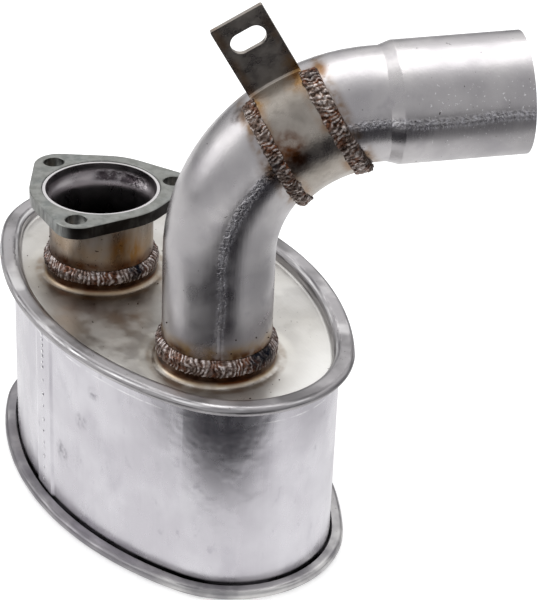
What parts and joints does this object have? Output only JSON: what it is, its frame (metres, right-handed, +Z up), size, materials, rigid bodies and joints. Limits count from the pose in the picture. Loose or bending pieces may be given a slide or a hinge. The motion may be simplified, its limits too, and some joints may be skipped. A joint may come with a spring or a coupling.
{
  "type": "exhaust muffler",
  "caption": "Oval exhaust muffler with a bolted inlet flange, a bent outlet pipe that ends in a socket, and a slotted hanger bracket.",
  "frame": {"origin": "centre of the inlet flange's sealing face", "axes": "+Z up, out of the inlet flange; +X along the long axis of the oval body, from the inlet towards the outlet"},
  "size_m": [0.2759, 0.2126, 0.2989],
  "materials": {
    "shell_sheet": "satin rolled sheet with faint lengthwise marks",
    "end_plate_sheet": "satin pressed sheet, brighter and streaky on the rolled rim",
    "flange_plate": "dull milled plate with bright broken edges",
    "inlet_tube": "drawn tube with a straw to brown heat tint beside the welds",
    "outlet_tube": "drawn tube with a fine lengthwise seam",
    "bracket_strap": "dark rolled strap with heat tint and a rust-brown blot",
    "weld_metal": "dark rippled weld bead with small bright spatter",
    "inner_sheet": "plain rolled sheet"
  },
  "bodies": {
    "root": {"shell": "shell_sheet", "top_end_plate": "end_plate_sheet", "bottom_end_plate": "end_plate_sheet", "inlet_flange": "flange_plate", "inlet_pipe": "inlet_tube", "inlet_flange_weld": "weld_metal", "inlet_collar_weld": "weld_metal", "outlet_pipe": "outlet_tube", "outlet_collar_weld": "weld_metal", "hanger_bracket": "bracket_strap", "bracket_weld_lower": "weld_metal", "bracket_weld_upper": "weld_metal", "upper_baffle": "inner_sheet", "lower_baffle": "inner_sheet", "inlet_perforated_tube": "inner_sheet", "inlet_tube_cap": "inner_sheet", "outlet_inner_tube": "inner_sheet", "transfer_tube": "inner_sheet"}
  },
  "joints": []
}
